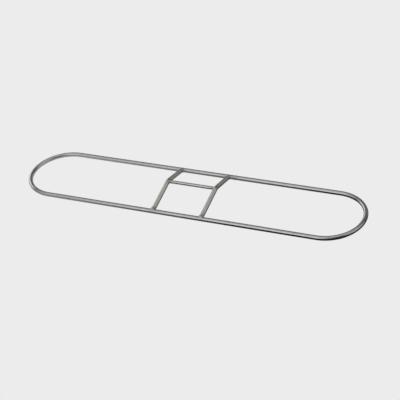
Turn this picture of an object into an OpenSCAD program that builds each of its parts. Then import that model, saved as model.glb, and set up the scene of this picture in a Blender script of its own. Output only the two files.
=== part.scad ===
// Wire frame for a snap-on dust mop: a racetrack loop of plated steel wire, two
// cross wires bent up like a low tent, and a pivot bar that joins their peaks.
// X runs along the frame, Y across it and Z up. The origin is on the floor, under
// the middle of the frame. Millimetres throughout.

/* [Loop] */
// Length of the loop, over the outside of the wire
frame_length = 610; // [450:1:1000]
// Width of the loop, over the outside of the wire
frame_width = 127; // [110:1:150]
// Diameter of the wire that the loop is bent from
loop_wire_d = 7.5; // [6:0.1:8]
// How far to the right of the right cross wire the loop's ends are butt welded
butt_weld_offset = 12; // [9:1:40]

/* [Cross wires] */
// Diameter of both cross wires
cross_wire_d = 7.5; // [6:0.1:8]
// Distance between the two cross wires, centre to centre
cross_spacing = 87; // [80:1:110]
// Height of the frame, from the floor to the top of a cross wire's peak
frame_height = 26.5; // [23:0.5:32]
// How far both peaks lean to the right of their feet
peak_lean = 4; // [0:0.5:6]
// Radius of the bend at a cross wire's peak, to the middle of the wire
peak_bend_r = 12; // [8:1:20]
// How far the end of a cross wire stops short of the rail's middle line
foot_setback = 2; // [1.5:0.1:2.5]
// How much higher than the rail's middle line that end is
foot_rise = 0.5; // [0.5:0.1:2.5]

/* [Pivot bar] */
// Diameter of the bar that the handle's clamp closes round
pivot_bar_d = 5.5; // [5:0.1:6]
// Radius of the knob of fused metal at each end of the bar
bar_weld_r = 3.5; // [3.2:0.1:3.8]

/* [Welds] */
// Radius of the bead of metal at the foot of a cross wire
foot_weld_r = 4.6; // [4.5:0.1:5]
// Length of the upset collar where the loop's ends meet
butt_collar_length = 5; // [4:0.5:8]
// Height of the upset collar above the wire
butt_collar_height = 0.4; // [0.2:0.1:0.6]

/* [Hidden] */
$fn = 64;

// Places of the loop: its wire lies on the floor, and the bows are half circles.
rail_y = (frame_width - loop_wire_d) / 2;
rail_z = loop_wire_d / 2;
bow_x = (frame_length - frame_width) / 2;
butt_gap = 1.2;

// Places of the cross wires: foot and peak are points on the wire's middle line.
cross_x = cross_spacing / 2;
foot_y = rail_y - foot_setback;
foot_z = rail_z + foot_rise;
peak_z = frame_height - cross_wire_d / 2;

// A cross wire is made upright, with its feet at height 0, and then leant over.
// Its legs have the slope that is tangent to a bend of peak_bend_r.
lean = atan2(peak_lean, peak_z - foot_z);
rise = norm([peak_lean, peak_z - foot_z]);
bend_z = rise - peak_bend_r;
leg_slope = asin(peak_bend_r / norm([foot_y, bend_z])) + atan2(bend_z, foot_y);
leg_length = (foot_y - peak_bend_r * sin(leg_slope)) / cos(leg_slope);
bend_overrun = 5;

// Places of the welds. The bar ends where the surface of its knob begins.
butt_weld_x = cross_x + butt_weld_offset;
foot_weld_inset = 0.8;
foot_weld_lift = 0.9;
bar_r = pivot_bar_d / 2;
bar_weld_inset = 0.4;
bar_knob_x = cross_x - cross_wire_d / 2 + bar_weld_inset;
bar_end_x = bar_knob_x - sqrt(pow(bar_weld_r, 2) - pow(bar_r, 2));

plated_steel = [0.66, 0.67, 0.68];
weld_steel = [0.52, 0.52, 0.53];

// A straight piece of wire along X, from x0 to x1.
module wire_x(d, x0, x1) {
    translate([x0, 0, 0])
        rotate([0, 90, 0])
            cylinder(d = d, h = x1 - x0);
}

// A half circle of wire that bulges towards +X from the origin.
module half_bow(d, r) {
    rotate_extrude(angle = 180, start = -90)
        translate([r, 0])
            circle(d = d);
}

// Both rails, the near one at -Y and the far one at +Y, without bows or weld gap.
module whole_rails() {
    for (side = [-1, 1])
        translate([0, side * rail_y, rail_z])
            wire_x(loop_wire_d, -bow_x, bow_x);
}

// One length of wire bent to a racetrack, open by butt_gap at the butt weld.
module loop_wire() {
    color(plated_steel) {
        translate([0, -rail_y, rail_z])
            wire_x(loop_wire_d, -bow_x, bow_x);
        translate([0, rail_y, rail_z]) {
            wire_x(loop_wire_d, -bow_x, butt_weld_x - butt_gap / 2);
            wire_x(loop_wire_d, butt_weld_x + butt_gap / 2, bow_x);
        }
        for (turn = [0, 180])
            rotate([0, 0, turn])
                translate([bow_x, 0, rail_z])
                    half_bow(loop_wire_d, rail_y);
    }
}

// Fused metal that closes the loop: a plug in the gap with a low upset collar,
// ground flush under the rail and on its outer side, where the mop slides.
module loop_butt_weld() {
    half = butt_collar_length / 2;
    wire_r = loop_wire_d / 2;
    collar_r = wire_r + butt_collar_height;
    color(weld_steel)
        intersection() {
            translate([butt_weld_x, rail_y, rail_z])
                rotate([0, 90, 0])
                    difference() {
                        rotate_extrude()
                            polygon([
                                [0, -half], [wire_r, -half], [collar_r, -half / 2],
                                [collar_r, half / 2], [wire_r, half], [0, half]
                            ]);
                        for (end = [-1, 1])
                            translate([0, 0, end * (butt_gap / 2 + half)])
                                cylinder(d = loop_wire_d, h = 2 * half, center = true);
                    }
            translate([butt_weld_x - half, rail_y - frame_width / 4, 0])
                cube([2 * half, frame_width / 4 + wire_r, 2 * loop_wire_d]);
        }
}

// Half of a cross wire, on the +Y side: a leg, and its part of the bend at the peak.
// The bend is swept a little past the middle and cut there.
module half_cross_wire() {
    intersection() {
        translate([0, 0, bend_z])
            rotate([90 - leg_slope, 0, 0])
                rotate([0, 90, 0])
                    rotate([0, 0, 90])
                        union() {
                            rotate_extrude(angle = leg_slope + bend_overrun)
                                translate([peak_bend_r, 0])
                                    circle(d = cross_wire_d);
                            translate([peak_bend_r, 0, 0])
                                rotate([90, 0, 0])
                                    cylinder(d = cross_wire_d, h = leg_length);
                        }
        translate([-cross_wire_d, 0, -frame_height])
            cube([2 * cross_wire_d, frame_width, 3 * frame_height]);
    }
}

// The near (-1) or far (1) half of a cross wire in its place, leant over.
module placed_half(side_x, side_y) {
    translate([side_x * cross_x, 0, foot_z])
        rotate([0, lean, 0])
            mirror([0, side_y < 0 ? 1 : 0, 0])
                half_cross_wire();
}

// A cross wire as welded in: its ends are shaped to the sides of the rails.
module cross_wire(side) {
    color(plated_steel)
        difference() {
            for (side_y = [-1, 1])
                placed_half(side, side_y);
            whole_rails();
        }
}

// The bead of metal round the foot of a cross wire, outside both wires.
module foot_weld(side_x, side_y) {
    color(weld_steel)
        difference() {
            translate([side_x * cross_x, side_y * (foot_y - foot_weld_inset), foot_z + foot_weld_lift])
                rotate([90, 0, 0])
                    sphere(r = foot_weld_r);
            placed_half(side_x, side_y);
            whole_rails();
        }
}

// The straight rod between the two peaks, up to the fused metal at each end.
module pivot_bar() {
    color(plated_steel)
        translate([peak_lean, 0, peak_z])
            wire_x(pivot_bar_d, -bar_end_x, bar_end_x);
}

// Knob of fused metal between an end of the pivot bar and the side of a cross wire.
module pivot_bar_weld(side) {
    color(weld_steel)
        difference() {
            intersection() {
                translate([peak_lean + side * bar_knob_x, 0, peak_z])
                    rotate([0, 90, 0])
                        sphere(r = bar_weld_r);
                translate([peak_lean + side * (bar_end_x + cross_wire_d), 0, peak_z])
                    cube(2 * cross_wire_d, center = true);
            }
            placed_half(side, -1);
            placed_half(side, 1);
        }
}

loop_wire();
loop_butt_weld();
cross_wire(-1);  // left_cross_wire
cross_wire(1);  // right_cross_wire
foot_weld(-1, -1);  // left_near_weld
foot_weld(-1, 1);  // left_far_weld
foot_weld(1, -1);  // right_near_weld
foot_weld(1, 1);  // right_far_weld
pivot_bar();
pivot_bar_weld(-1);  // pivot_bar_left_weld
pivot_bar_weld(1);  // pivot_bar_right_weld
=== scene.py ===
"""Looks of the wire dust mop frame: swept wires, weld metal, plated finishes, plain studio."""

import math

import bpy
import numpy as np
from mathutils import Matrix, Vector


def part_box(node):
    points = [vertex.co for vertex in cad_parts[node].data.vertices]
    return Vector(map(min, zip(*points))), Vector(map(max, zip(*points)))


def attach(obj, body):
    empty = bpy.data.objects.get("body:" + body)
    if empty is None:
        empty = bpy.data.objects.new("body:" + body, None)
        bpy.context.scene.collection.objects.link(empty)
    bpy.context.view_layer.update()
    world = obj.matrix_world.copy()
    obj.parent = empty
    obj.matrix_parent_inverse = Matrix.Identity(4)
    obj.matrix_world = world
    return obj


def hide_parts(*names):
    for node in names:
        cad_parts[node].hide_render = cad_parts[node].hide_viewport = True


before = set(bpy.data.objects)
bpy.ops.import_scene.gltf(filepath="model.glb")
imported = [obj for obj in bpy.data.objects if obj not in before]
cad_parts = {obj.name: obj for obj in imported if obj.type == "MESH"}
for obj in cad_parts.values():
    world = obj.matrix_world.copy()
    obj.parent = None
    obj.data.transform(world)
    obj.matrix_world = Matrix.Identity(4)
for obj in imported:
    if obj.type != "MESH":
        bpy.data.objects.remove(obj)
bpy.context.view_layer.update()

MM = 0.001

# ---------------------------------------------------------------- sizes, from the frame

loop_lo, loop_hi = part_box("loop_wire")
left_cross_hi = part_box("left_cross_wire")[1]
right_cross_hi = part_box("right_cross_wire")[1]
bar_lo, bar_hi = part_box("pivot_bar")
butt_lo, butt_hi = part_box("loop_butt_weld")

WIRE_R = (loop_hi.z - loop_lo.z) / 2
RAIL_Y = loop_hi.y - WIRE_R
RAIL_Z = loop_lo.z + WIRE_R
BOW_X = loop_hi.x - WIRE_R - RAIL_Y
BAR_R = (bar_hi.z - bar_lo.z) / 2
PEAK_Z = (bar_hi.z + bar_lo.z) / 2
CROSS_R = right_cross_hi.z - PEAK_Z
CROSS_X = (right_cross_hi.x - left_cross_hi.x) / 2
PEAK_SHIFT = (bar_hi.x + bar_lo.x) / 2
BUTT_X = (butt_lo.x + butt_hi.x) / 2

# Sizes that the frame doesn't hold, the same as in the part.
PEAK_BEND_R = 12 * MM
FOOT_SETBACK, FOOT_RISE = 2 * MM, 0.5 * MM
BUTT_GAP = 1.2 * MM

FOOT_Y = RAIL_Y - FOOT_SETBACK
FOOT_Z = RAIL_Z + FOOT_RISE
BAR_SINK = 1 * MM  # how far each end of the bar runs on into its weld

# The heap of metal at a foot: its radius, and its place inwards of and above the foot.
FOOT_HEAP_R = 4.1 * MM
FOOT_HEAP_IN, FOOT_HEAP_UP = 0.6 * MM, 0.8 * MM
FOOT_CUTBACK = 1.2 * MM  # how far short of the foot the wire in the blend begins
FOOT_RODS, BAR_ROD = 0.03, 0.02  # rods in the blends: longer than the boxes they are meshed in

# A cross wire is worked out upright, with its feet at height 0, and then leant over.
LEAN = math.atan2(PEAK_SHIFT, PEAK_Z - FOOT_Z)
BEND_Z = math.hypot(PEAK_SHIFT, PEAK_Z - FOOT_Z) - PEAK_BEND_R
LEG_SLOPE = math.asin(PEAK_BEND_R / math.hypot(FOOT_Y, BEND_Z)) + math.atan2(BEND_Z, FOOT_Y)

# ---------------------------------------------------------------- mesh helpers

OUT_OF_ROUND = 0.004


def wavy(points, scale, seed, octaves=3):
    """Smooth random field over points (n, 3): a sum of sine waves, about -1 to 1."""
    r = np.random.default_rng(seed)
    out = np.zeros(len(points))
    total = 0.0
    for octave in range(octaves):
        weight = 0.5**octave
        for _ in range(6):
            d = r.normal(size=3)
            d *= 2**octave * 2 * math.pi / (scale * np.linalg.norm(d))
            out += weight * np.sin(points @ d + r.uniform(0, 2 * math.pi))
        total += weight * 2.2
    return out / total


def mesh_object(name, verts, faces, attributes=None):
    mesh = bpy.data.meshes.new(name)
    mesh.from_pydata([tuple(v) for v in verts], [], [tuple(f) for f in faces])
    mesh.validate()
    for key, values in (attributes or {}).items():
        values = np.asarray(values, np.float32)
        if values.ndim == 2:
            layer = mesh.attributes.new(key, "FLOAT_VECTOR", "POINT")
            layer.data.foreach_set("vector", values.ravel())
        else:
            layer = mesh.attributes.new(key, "FLOAT", "POINT")
            layer.data.foreach_set("value", values)
    mesh.polygons.foreach_set("use_smooth", [True] * len(mesh.polygons))
    mesh.update()
    obj = bpy.data.objects.new(name, mesh)
    bpy.context.scene.collection.objects.link(obj)
    return obj


def frames_along(path):
    """Unit tangents and two turning-free normals at each point of an open path."""
    tangents = np.gradient(path, axis=0)
    tangents /= np.linalg.norm(tangents, axis=1)[:, None]
    up = np.array([0.0, 0.0, 1.0])
    n = up - tangents[0] * (up @ tangents[0])
    normals = np.empty_like(path)
    for i, t in enumerate(tangents):
        n = n - t * (n @ t)
        n = n / np.linalg.norm(n)
        normals[i] = n
    return tangents, normals, np.cross(tangents, normals)


def weld_nearness(points, core=3 * MM, reach=11 * MM):
    """1 within core of a weld's middle, falling to 0 over the reach beyond it."""
    near = np.zeros(len(points))
    for centre in WELD_CENTRES:
        gap = np.linalg.norm(points - np.array(centre), axis=1)
        near = np.maximum(near, np.clip(1 - (gap - core) / reach, 0, 1))
    return near**1.5


def tube_faces(count, sides, flip=False):
    """Faces of count rings closed by a fan at each end, whose two centres are the last points."""
    faces = []
    for i in range(count - 1):
        for j in range(sides):
            k = (j + 1) % sides
            faces.append((i * sides + j, i * sides + k, (i + 1) * sides + k, (i + 1) * sides + j))
    first, last = count * sides, (count - 1) * sides
    for j in range(sides):
        k = (j + 1) % sides
        faces += [(first, k, j), (first + 1, last + j, last + k)]
    return [face[:1] + face[:0:-1] for face in faces] if flip else faces


def sweep_wire(name, path, radius, sides=48, seed=0, chamfer=0.5 * MM):
    """A closed tube of round wire along an open path, with chamfered ends and flat end faces."""
    path = np.asarray(path, float)
    tangents, normals, sides_v = frames_along(path)
    s = np.concatenate([[0], np.cumsum(np.linalg.norm(np.diff(path, axis=0), axis=1))])

    # rings of a chamfered end: how far in, in chamfers, and the share of the wire's radius
    ends = [(0.0, 0.12), (0.0, 0.55), (0.12, 0.82), (0.5, 0.95), (1.0, 1.0)]
    rows = []
    for along, share in ends:
        rows.append((path[0] + tangents[0] * along * chamfer, 0, share, along * chamfer))
    for i in range(1, len(path) - 1):
        if chamfer * 1.2 < s[i] < s[-1] - chamfer * 1.2:
            rows.append((path[i], i, 1.0, s[i]))
    for along, share in reversed(ends):
        rows.append((path[-1] - tangents[-1] * along * chamfer, -1, share, s[-1] - along * chamfer))

    angle = np.linspace(0, 2 * math.pi, sides, endpoint=False)
    verts, coords = [], []
    for centre, i, share, at in rows:
        ring = np.outer(np.cos(angle), normals[i]) + np.outer(np.sin(angle), sides_v[i])
        verts.append(centre + ring * radius * share)
        coords.append(
            np.column_stack([np.cos(angle) * radius, np.sin(angle) * radius, np.full(sides, at)])
        )
    verts = np.concatenate(verts)
    coords = np.concatenate(coords)

    # The die and the straightening rollers leave the wire very slightly out of round.
    axis_points = np.repeat(np.array([row[0] for row in rows]), sides, axis=0)
    out = verts - axis_points
    uneven = wavy(coords * [1, 1, 0.15], 9 * MM, seed + 1)
    swell = 1 + OUT_OF_ROUND * uneven * np.minimum(1, np.linalg.norm(out, axis=1) / radius)
    verts = axis_points + out * swell[:, None]
    verts[:, 2] = np.maximum(verts[:, 2], 0)

    verts = np.vstack([verts, rows[0][0], rows[-1][0]])
    coords = np.vstack([coords, [0, 0, 0], [0, 0, s[-1]]])
    faces = tube_faces(len(rows), sides)
    return mesh_object(
        name, verts, faces, {"wire_co": coords, "near_weld": weld_nearness(verts)}
    )


def surface_net(field, origin, step):
    """Closed quad mesh round the cells where field is negative (naive surface nets)."""
    inside = field < 0
    shape = np.array(field.shape) - 1
    total = np.zeros((*shape, 3))
    count = np.zeros(shape)
    crossings = []
    for axis in range(3):
        a = [slice(None)] * 3
        b = [slice(None)] * 3
        a[axis], b[axis] = slice(None, -1), slice(1, None)
        f0, f1 = field[tuple(a)], field[tuple(b)]
        cross = inside[tuple(a)] != inside[tuple(b)]
        where = np.argwhere(cross)
        t = f0[cross] / (f0[cross] - f1[cross])
        point = where.astype(float)
        point[:, axis] += t
        crossings.append((axis, where, inside[tuple(a)][cross]))
        others = [k for k in range(3) if k != axis]
        for du in (0, -1):
            for dv in (0, -1):
                cell = where.copy()
                cell[:, others[0]] += du
                cell[:, others[1]] += dv
                ok = np.all((cell >= 0) & (cell < shape), axis=1)
                c = cell[ok]
                np.add.at(total, (c[:, 0], c[:, 1], c[:, 2]), point[ok])
                np.add.at(count, (c[:, 0], c[:, 1], c[:, 2]), 1)
    used = count > 0
    index = -np.ones(shape, int)
    index[used] = np.arange(used.sum())
    verts = origin + step * total[used] / count[used][:, None]
    faces = []
    for axis, where, starts_inside in crossings:
        u, v = [(1, 2), (2, 0), (0, 1)][axis]
        for w, flip in zip(where, starts_inside):
            if w[u] == 0 or w[v] == 0 or w[u] >= shape[u] or w[v] >= shape[v]:
                continue
            quad = []
            for du, dv in ((-1, -1), (0, -1), (0, 0), (-1, 0)):
                c = w.copy()
                c[u] += du
                c[v] += dv
                quad.append(index[tuple(c)])
            faces.append(quad if flip else quad[::-1])
    return verts, faces


def smooth_min(a, b, k):
    h = np.clip(0.5 + 0.5 * (b - a) / k, 0, 1)
    return b * (1 - h) + a * h - k * h * (1 - h)


def segment_distance(p, a, b, radius):
    """Distance from p (n, 3) to a rod of that radius from a to b, with round ends."""
    a, b = np.asarray(a, float), np.asarray(b, float)
    t = np.clip((p - a) @ (b - a) / ((b - a) @ (b - a)), 0, 1)
    return np.linalg.norm(p - a - t[:, None] * (b - a), axis=1) - radius


def weld_mesh(name, centre, half, distance, step=0.25 * MM):
    """Mesh of the metal where distance(points) is negative, in a box round centre."""
    n = int(2 * half / step) + 1
    lines = [np.linspace(c - half, c + half, n) for c in centre]
    grid = np.stack(np.meshgrid(*lines, indexing="ij"), -1).reshape(-1, 3)
    field = distance(grid).reshape(n, n, n)
    verts, faces = surface_net(field, np.array([l[0] for l in lines]), lines[0][1] - lines[0][0])
    coords = verts - np.asarray(centre)
    return mesh_object(name, verts, faces, {"wire_co": coords, "near_weld": np.ones(len(verts))})


# ---------------------------------------------------------------- centre lines


def line(a, b, step=2 * MM):
    a, b = np.array(a, float), np.array(b, float)
    n = max(2, int(np.linalg.norm(b - a) / step) + 1)
    return a + np.linspace(0, 1, n)[:, None] * (b - a)


def arc(centre, radius, start, end, plane="xy", step=1.0 * MM):
    n = max(3, int(abs(end - start) * radius / step) + 1)
    t = np.linspace(start, end, n)
    u, v = np.cos(t) * radius, np.sin(t) * radius
    zero = np.zeros(n)
    rows = (u, v, zero) if plane == "xy" else (zero, u, v)
    return np.array(centre) + np.column_stack(rows)


def joined(*parts):
    """One path out of several, with the points shared at their ends taken once."""
    out = [parts[0]]
    for part in parts[1:]:
        out.append(part[1:])
    return np.vstack(out)


def loop_path():
    y, z = RAIL_Y, RAIL_Z
    return joined(
        line((BUTT_X - BUTT_GAP / 2, y, z), (-BOW_X, y, z)),
        arc((-BOW_X, 0, z), y, math.pi / 2, 3 * math.pi / 2),
        line((-BOW_X, -y, z), (BOW_X, -y, z)),
        arc((BOW_X, 0, z), y, -math.pi / 2, math.pi / 2),
        line((BOW_X, y, z), (BUTT_X + BUTT_GAP / 2, y, z)),
    )


def leant(points, side):
    """Points of an upright cross wire at x = 0, leant over and put at its place."""
    p = np.asarray(points, float)
    x = side * CROSS_X + p[..., 0] * math.cos(LEAN) + p[..., 2] * math.sin(LEAN)
    z = FOOT_Z + p[..., 2] * math.cos(LEAN) - p[..., 0] * math.sin(LEAN)
    return np.stack([x, p[..., 1], z], -1)


def upright(points, side):
    """The way back: from the place of a cross wire to its upright shape at x = 0."""
    x, z = points[..., 0] - side * CROSS_X, points[..., 2] - FOOT_Z
    c, s = math.cos(LEAN), math.sin(LEAN)
    return np.stack([x * c - z * s, points[..., 1], x * s + z * c], -1)


def cross_path(side):
    c, s = math.cos(LEG_SLOPE), math.sin(LEG_SLOPE)
    start = np.array([0, PEAK_BEND_R * s, BEND_Z + PEAK_BEND_R * c])
    foot = np.array([0, FOOT_Y, 0])
    mirror = np.array([1, -1, 1])
    turn = (math.pi / 2 + LEG_SLOPE, math.pi / 2 - LEG_SLOPE)
    path = joined(
        line(foot * mirror, start * mirror),
        arc((0, 0, BEND_Z), PEAK_BEND_R, *turn, "yz", 0.5 * MM),
        line(start, foot),
    )
    return leant(path, side)


WELD_CENTRES = [(sx * CROSS_X, sy * FOOT_Y, FOOT_Z) for sx in (-1, 1) for sy in (-1, 1)]
WELD_CENTRES += [(PEAK_SHIFT + sx * (CROSS_X - CROSS_R), 0, PEAK_Z) for sx in (-1, 1)]
WELD_CENTRES += [(BUTT_X, RAIL_Y, RAIL_Z)]

# ---------------------------------------------------------------- weld metal


def weld_skin(blend, gap, waves, swell, fade_from, fade_over, sink, reach):
    """Blended rods, swollen and uneven near the weld, sunk into the wires away from it."""
    fade = np.clip((gap - fade_from) / fade_over, 0, 1)
    return blend - swell + waves * (1 - fade) + fade * sink + np.maximum(0, gap - reach)


def foot_weld(name, side_x, side_y, seed):
    """Metal squeezed out where the end of a cross wire is fused into the side of the rail."""
    x = side_x * CROSS_X
    joint = np.array([x, side_y * (FOOT_Y - FOOT_HEAP_IN), FOOT_Z + FOOT_HEAP_UP])
    c, s = math.cos(LEG_SLOPE), math.sin(LEG_SLOPE)
    inwards = np.array([0, -side_y * c, s])
    foot = np.array([0, side_y * FOOT_Y, 0]) + FOOT_CUTBACK * inwards

    def distance(p):
        y = side_y * RAIL_Y
        rail = segment_distance(p, (x - FOOT_RODS, y, RAIL_Z), (x + FOOT_RODS, y, RAIL_Z), WIRE_R)
        wire = segment_distance(upright(p, side_x), foot, foot + inwards * FOOT_RODS, CROSS_R)
        heap = np.linalg.norm(p - joint, axis=1) - FOOT_HEAP_R
        gap = np.linalg.norm((p - joint) * [1, 1, 0.9], axis=1)
        blend = smooth_min(smooth_min(rail, wire, 2.4 * MM), heap, 1.2 * MM)
        turn = np.arctan2(p[:, 1] - joint[1], p[:, 0] - joint[0])
        ripple = 0.05 * MM * np.sin(turn * 26 + 3 * wavy(p, 6 * MM, seed + 5, 1))
        lump = 0.14 * MM * wavy(p, 3.2 * MM, seed)
        metal = weld_skin(
            blend,
            gap,
            ripple + lump,
            swell=0.16 * MM,
            fade_from=4.4 * MM,
            fade_over=2.2 * MM,
            sink=0.5 * MM,
            reach=7.2 * MM,
        )
        return np.maximum(metal, -p[:, 2])

    return weld_mesh(name, joint, 8 * MM, distance)


def bar_weld(name, side, seed):
    """Knob of metal where an end of the pivot bar meets the side of a cross wire."""
    peak = PEAK_SHIFT + side * CROSS_X
    centre = np.array([peak - side * CROSS_R, 0, PEAK_Z])

    def distance(p):
        rod = segment_distance(p, (peak - side * BAR_ROD, 0, PEAK_Z), (peak, 0, PEAK_Z), BAR_R)
        local = upright(p, side)
        flat = np.linalg.norm(local[:, 1:] - [0, BEND_Z], axis=1) - PEAK_BEND_R
        wire = np.hypot(flat, local[:, 0]) - CROSS_R
        gap = np.linalg.norm(p - centre, axis=1)
        blend = smooth_min(rod, wire, 2.0 * MM)
        turn = np.arctan2(p[:, 2] - PEAK_Z, p[:, 1])
        ripple = 0.04 * MM * np.sin(turn * 15 + 2 * wavy(p, 5 * MM, seed + 3, 1))
        lump = 0.12 * MM * wavy(p, 2.6 * MM, seed)
        return weld_skin(
            blend,
            gap,
            ripple + lump,
            swell=0.14 * MM,
            fade_from=2.6 * MM,
            fade_over=1.8 * MM,
            sink=0.45 * MM,
            reach=4.8 * MM,
        )

    return weld_mesh(name, centre, 5.4 * MM, distance, 0.18 * MM)


def butt_weld(name, seed=70):
    """Low collar where the loop's ends meet, dressed flush underneath and outside."""
    half = (butt_hi.x - butt_lo.x) / 2
    rise = RAIL_Y - butt_lo.y - WIRE_R
    sides, rows = 96, 41
    sink, swell = 0.06 * MM, 0.1 * MM
    along = np.linspace(-half, half, rows)
    angle = np.linspace(0, 2 * math.pi, sides, endpoint=False)
    grid_x, grid_a = np.meshgrid(along, angle, indexing="ij")
    crown = np.clip(1 - (np.abs(grid_x) / half) ** 2.2, 0, 1)
    # angle 0 points up and a quarter turn points to the inner side of the rail
    facing = np.clip(0.55 + 0.9 * np.cos(grid_a - math.pi / 4), 0, 1)
    flat = np.column_stack(
        [grid_x.ravel(), np.cos(grid_a).ravel() * WIRE_R, np.sin(grid_a).ravel() * WIRE_R]
    )
    bumps = wavy(flat, 2.4 * MM, seed).reshape(rows, sides)
    radius = WIRE_R - sink + (rise * facing + swell) * crown * (1 + 0.18 * bumps)
    verts = np.column_stack(
        [
            (BUTT_X + grid_x).ravel(),
            (RAIL_Y - np.sin(grid_a) * radius).ravel(),
            (RAIL_Z + np.cos(grid_a) * radius).ravel(),
        ]
    )
    verts[:, 2] = np.maximum(verts[:, 2], 0)
    faces = tube_faces(rows, sides, flip=True)
    verts = np.vstack([verts, [BUTT_X - half, RAIL_Y, RAIL_Z], [BUTT_X + half, RAIL_Y, RAIL_Z]])
    coords = verts - [BUTT_X, RAIL_Y, RAIL_Z]
    return mesh_object(name, verts, faces, {"wire_co": coords, "near_weld": np.ones(len(verts))})


# ---------------------------------------------------------------- materials

TINT_WARM, TINT_COOL = (0.66, 0.62, 0.55, 1), (0.56, 0.62, 0.69, 1)
PIT_COLOUR, BURNT_COLOUR = (0.22, 0.21, 0.20, 1), (0.46, 0.43, 0.38, 1)
WELD_DARK, WELD_LIGHT = (0.48, 0.46, 0.42, 1), (0.67, 0.66, 0.63, 1)
WELD_GRAIN = (0.25, 0.22, 0.19, 1)


class Nodes:
    """Small helper that adds linked shader nodes to one material or world."""

    def __init__(self, owner):
        self.owner = owner
        owner.use_nodes = True
        self.tree = owner.node_tree
        self.tree.nodes.clear()

    def add(self, kind, inputs=None, **settings):
        node = self.tree.nodes.new(kind)
        for key, value in settings.items():
            setattr(node, key, value)
        for key, value in (inputs or {}).items():
            if isinstance(value, bpy.types.NodeSocket):
                self.tree.links.new(value, node.inputs[key])
            else:
                node.inputs[key].default_value = value
        return node

    def math(self, op, a, b=0.0):
        return self.add("ShaderNodeMath", {0: a, 1: b}, operation=op).outputs[0]

    def scaled(self, vector, scale):
        return self.add(
            "ShaderNodeVectorMath", {0: vector, 1: scale}, operation="MULTIPLY"
        ).outputs[0]

    def dot(self, a, b):
        return self.add(
            "ShaderNodeVectorMath", {0: a, 1: b}, operation="DOT_PRODUCT"
        ).outputs["Value"]

    def noise(self, vector, scale, detail=3.0, roughness=0.5):
        return self.add(
            "ShaderNodeTexNoise",
            {"Vector": vector, "Scale": scale, "Detail": detail, "Roughness": roughness},
        ).outputs["Fac"]

    def ramp(self, value, low, high, out_low=0.0, out_high=1.0):
        return self.add(
            "ShaderNodeMapRange",
            {
                "Value": value,
                "From Min": low,
                "From Max": high,
                "To Min": out_low,
                "To Max": out_high,
            },
        ).outputs[0]

    def mix(self, factor, a, b):
        node = self.add("ShaderNodeMix", data_type="RGBA")
        for key, value in ((0, factor), (6, a), (7, b)):
            if isinstance(value, bpy.types.NodeSocket):
                self.tree.links.new(value, node.inputs[key])
            else:
                node.inputs[key].default_value = value
        return node.outputs[2]


def metal(n, colour, rough, height, strength, depth):
    """Finish the material as bare metal, with height as a fine bump of that strength and depth."""
    bump = n.add("ShaderNodeBump", {"Height": height, "Strength": strength, "Distance": depth})
    shader = n.add(
        "ShaderNodeBsdfPrincipled",
        {"Base Color": colour, "Metallic": 1.0, "Roughness": rough, "Normal": bump.outputs[0]},
    )
    n.add("ShaderNodeOutputMaterial", {"Surface": shader.outputs[0]})
    return n.owner


def plated_wire(name, light, dark, roughness=0.22):
    """Drawn steel wire under bright zinc: die lines, mottled plating, small scuffs."""
    n = Nodes(bpy.data.materials.new(name))
    wire = n.add("ShaderNodeAttribute", attribute_name="wire_co").outputs["Vector"]
    near = n.add("ShaderNodeAttribute", attribute_name="near_weld").outputs["Fac"]
    place = n.add("ShaderNodeTexCoord").outputs["Object"]

    lines = n.noise(n.scaled(wire, (1, 1, 0.012)), 3200, 4, 0.6)
    broad_lines = n.noise(n.scaled(wire, (1, 1, 0.02)), 700, 2, 0.5)
    mottle = n.noise(place, 110, 4, 0.6)
    cloud = n.noise(place, 14, 2, 0.5)
    specks = n.noise(place, 1500, 2, 0.5)
    scuffs = n.noise(n.scaled(wire, (1, 1, 0.25)), 420, 5, 0.7)

    tone = n.math("ADD", n.math("MULTIPLY", lines, 0.35), n.math("MULTIPLY", mottle, 0.65))
    tone = n.ramp(tone, 0.32, 0.68)
    colour = n.mix(tone, dark, light)
    tint = n.mix(n.ramp(cloud, 0.38, 0.62), TINT_WARM, TINT_COOL)
    colour = n.mix(0.35, colour, tint)
    pits = n.ramp(specks, 0.66, 0.74)
    colour = n.mix(n.math("MULTIPLY", pits, 0.45), colour, PIT_COLOUR)
    warm = n.math("MULTIPLY", near, n.ramp(mottle, 0.3, 0.7, 0.25, 0.8))
    colour = n.mix(warm, colour, BURNT_COLOUR)

    rough = n.ramp(lines, 0.3, 0.7, roughness - 0.05, roughness + 0.07)
    rough = n.math("ADD", rough, n.ramp(scuffs, 0.52, 0.72, 0.0, 0.14))
    rough = n.math("ADD", rough, n.math("MULTIPLY", near, 0.10))

    height = n.math("ADD", n.math("MULTIPLY", lines, 0.6), n.math("MULTIPLY", broad_lines, 1.0))
    height = n.math("ADD", height, n.math("MULTIPLY", mottle, 0.5))
    height = n.math("SUBTRACT", height, n.math("MULTIPLY", pits, 0.8))
    return metal(n, colour, rough, height, 0.35, 0.06 * MM)


def weld_metal(name):
    """Plated weld metal: rougher, grainy, with a little burnt tint in its grain."""
    n = Nodes(bpy.data.materials.new(name))
    place = n.add("ShaderNodeTexCoord").outputs["Object"]
    grain = n.noise(place, 1600, 4, 0.65)
    patches = n.noise(place, 320, 3, 0.6)
    colour = n.mix(n.ramp(patches, 0.35, 0.65), WELD_DARK, WELD_LIGHT)
    colour = n.mix(n.ramp(grain, 0.6, 0.75, 0, 0.5), colour, WELD_GRAIN)
    rough = n.ramp(grain, 0.3, 0.7, 0.34, 0.55)
    height = n.math("ADD", grain, n.math("MULTIPLY", patches, 2.0))
    return metal(n, colour, rough, height, 0.5, 0.12 * MM)


# ---------------------------------------------------------------- the pieces

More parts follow.
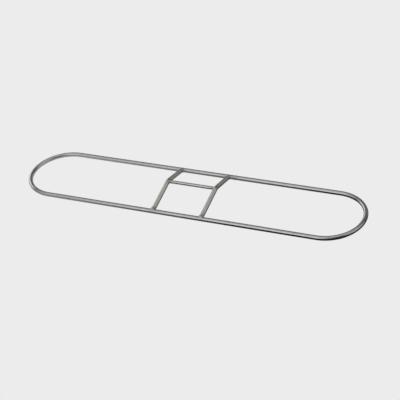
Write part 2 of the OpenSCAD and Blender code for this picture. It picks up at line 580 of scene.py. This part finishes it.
loop_finish = plated_wire("plated_wire_loop", (0.75, 0.75, 0.74, 1), (0.52, 0.52, 0.515, 1))
cross_finish = plated_wire("plated_wire_cross", (0.76, 0.74, 0.69, 1), (0.55, 0.53, 0.48, 1))
weld_finish = weld_metal("plated_weld")


def settle(obj, material, node):
    obj.data.materials.append(material)
    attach(obj, "root")
    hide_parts(node)


settle(
    sweep_wire("loop_wire_drawn", loop_path(), WIRE_R, seed=11),
    loop_finish,
    "loop_wire",
)
for side, word in ((-1, "left"), (1, "right")):
    settle(
        sweep_wire(f"{word}_cross_wire_drawn", cross_path(side), CROSS_R, seed=20 + side),
        cross_finish,
        f"{word}_cross_wire",
    )
    for side_y, place in ((-1, "near"), (1, "far")):
        settle(
            foot_weld(f"{word}_{place}_weld_bead", side, side_y, 40 + 3 * side + side_y),
            weld_finish,
            f"{word}_{place}_weld",
        )
    settle(
        bar_weld(f"pivot_bar_{word}_weld_bead", side, 60 + side),
        weld_finish,
        f"pivot_bar_{word}_weld",
    )
settle(
    sweep_wire(
        "pivot_bar_drawn",
        line((bar_lo.x - BAR_SINK, 0, PEAK_Z), (bar_hi.x + BAR_SINK, 0, PEAK_Z)),
        BAR_R,
        seed=31,
    ),
    loop_finish,
    "pivot_bar",
)
settle(butt_weld("loop_butt_weld_collar"), weld_finish, "loop_butt_weld")

# ---------------------------------------------------------------- floor, lights, camera

BACKGROUND = (0.8388, 0.8388, 0.8388, 1)
FLOOR_HALF = 6.0
FLOOR_DROP = 0.05 * MM

# The floor as the wires mirror it: level at the middle, limits, and change per metre in X and Y.
FLOOR_LEVEL, FLOOR_DARK, FLOOR_BRIGHT = 0.17, 0.01, 0.40
FLOOR_FALL_X, FLOOR_FALL_Y = -0.9, 0.9

# Soft patches of light round the room: the way to each, how near that way it begins and is
# full (as the cosine of the angle), and its level.
SKY_PATCHES = (
    ((-0.39, -0.60, 0.70), 0.60, 0.95, 0.62),  # front
    ((-0.90, 0.42, 0.10), 0.78, 0.93, 1.1),  # left
    ((0.93, 0.15, 0.33), 0.75, 0.95, 0.58),  # right
    ((0.20, 0.97, 0.10), 0.86, 0.98, 0.32),  # back
    ((0, 0, 1), 0.66, 0.88, 0.54),  # ceiling
)
# The rest of the room: dim, falling to dark on the right between these two values of X.
SKY_DIM, SKY_DARK = 0.12, 0.05
SKY_DIM_X, SKY_DARK_X = 0.1, 0.6

# The camera: degrees, then metres, then lens and sensor in millimetres and the far limit in metres.
CAMERA_AZIMUTH, CAMERA_ELEVATION, CAMERA_ROLL = 29.14, 35.91, -9.22
CAMERA_DISTANCE, CAMERA_SLIDE_X, CAMERA_SLIDE_Y = 2.245, -14.9 * MM, 10.4 * MM
CAMERA_LENS, CAMERA_SENSOR, CAMERA_FAR = 121.5, 36, 50


def mirrored_floor(n):
    """How bright the floor looks in the wires: it falls off to the right and the front."""
    place = n.add("ShaderNodeTexCoord").outputs["Object"]
    parts = n.add("ShaderNodeSeparateXYZ", {0: place}).outputs
    along = n.math("MULTIPLY", parts["X"], FLOOR_FALL_X)
    across = n.math("MULTIPLY", parts["Y"], FLOOR_FALL_Y)
    level = n.math("ADD", n.math("ADD", along, across), FLOOR_LEVEL)
    return n.math("MINIMUM", n.math("MAXIMUM", level, FLOOR_DARK), FLOOR_BRIGHT)


def pale_floor():
    s = FLOOR_HALF
    corners = [(-s, -s, 0), (s, -s, 0), (s, s, 0), (-s, s, 0)]
    floor = mesh_object("floor", corners, [(0, 1, 2, 3)])
    n = Nodes(bpy.data.materials.new("floor_pale"))
    seen = n.add("ShaderNodeLightPath").outputs["Is Camera Ray"]
    level = n.mix(seen, mirrored_floor(n), BACKGROUND)
    glow = n.add("ShaderNodeEmission", {"Color": level, "Strength": 1.0})
    n.add("ShaderNodeOutputMaterial", {"Surface": glow.outputs[0]})
    floor.data.materials.append(n.owner)
    floor.location.z = -FLOOR_DROP


def studio_world():
    """Even pale backdrop for the camera; in the wires, five soft patches of light in a dim room."""
    n = Nodes(bpy.data.worlds.new("studio"))
    bpy.context.scene.world = n.owner
    direction = n.add("ShaderNodeTexCoord").outputs["Generated"]
    x = n.add("ShaderNodeSeparateXYZ", {0: direction}).outputs["X"]
    level = n.ramp(x, SKY_DIM_X, SKY_DARK_X, SKY_DIM, SKY_DARK)
    for way, edge, full, brightness in SKY_PATCHES:
        patch = n.ramp(n.dot(direction, way), edge, full, 0.0, brightness)
        level = n.math("MAXIMUM", level, patch)
    seen = n.add("ShaderNodeLightPath").outputs["Is Camera Ray"]
    shown = n.mix(seen, level, BACKGROUND)
    glow = n.add("ShaderNodeBackground", {"Color": shown, "Strength": 1.0})
    n.add("ShaderNodeOutputWorld", {"Surface": glow.outputs[0]})


def way_to(azimuth, elevation):
    """Unit vector from the object's middle towards that azimuth and elevation, in degrees."""
    az, el = math.radians(azimuth), math.radians(elevation)
    return Vector((math.sin(az) * math.cos(el), -math.cos(az) * math.cos(el), math.sin(el)))


def soft_light(name, azimuth, elevation, distance, width, height, watts):
    """Rectangular area light on a sphere round the object, aimed at its middle."""
    back = way_to(azimuth, elevation)
    data = bpy.data.lights.new(name, "AREA")
    data.shape = "RECTANGLE"
    data.size, data.size_y, data.energy = width, height, watts
    light = bpy.data.objects.new(name, data)
    light.location = back * distance
    light.rotation_euler = back.to_track_quat("Z", "Y").to_euler()
    light.visible_camera = False
    bpy.context.scene.collection.objects.link(light)


def aim_camera():
    roll = math.radians(CAMERA_ROLL)
    back = way_to(CAMERA_AZIMUTH, CAMERA_ELEVATION)
    right = Vector((0, 0, 1)).cross(back).normalized()
    up = back.cross(right)
    x_axis = right * math.cos(roll) + up * math.sin(roll)
    y_axis = up * math.cos(roll) - right * math.sin(roll)
    data = bpy.data.cameras.new("camera")
    data.sensor_width, data.lens, data.clip_end = CAMERA_SENSOR, CAMERA_LENS, CAMERA_FAR
    camera = bpy.data.objects.new("camera", data)
    place = Vector((0, 0, RAIL_Z)) + back * CAMERA_DISTANCE
    place = place - x_axis * CAMERA_SLIDE_X - y_axis * CAMERA_SLIDE_Y
    turn = Matrix((x_axis, y_axis, back)).transposed().to_4x4()
    camera.matrix_world = Matrix.Translation(place) @ turn
    bpy.context.scene.collection.objects.link(camera)
    bpy.context.scene.camera = camera


pale_floor()
studio_world()
soft_light("key", azimuth=-12, elevation=38, distance=1.3, width=1.0, height=0.9, watts=1.2)
aim_camera()
bpy.context.scene.view_settings.view_transform = "Standard"
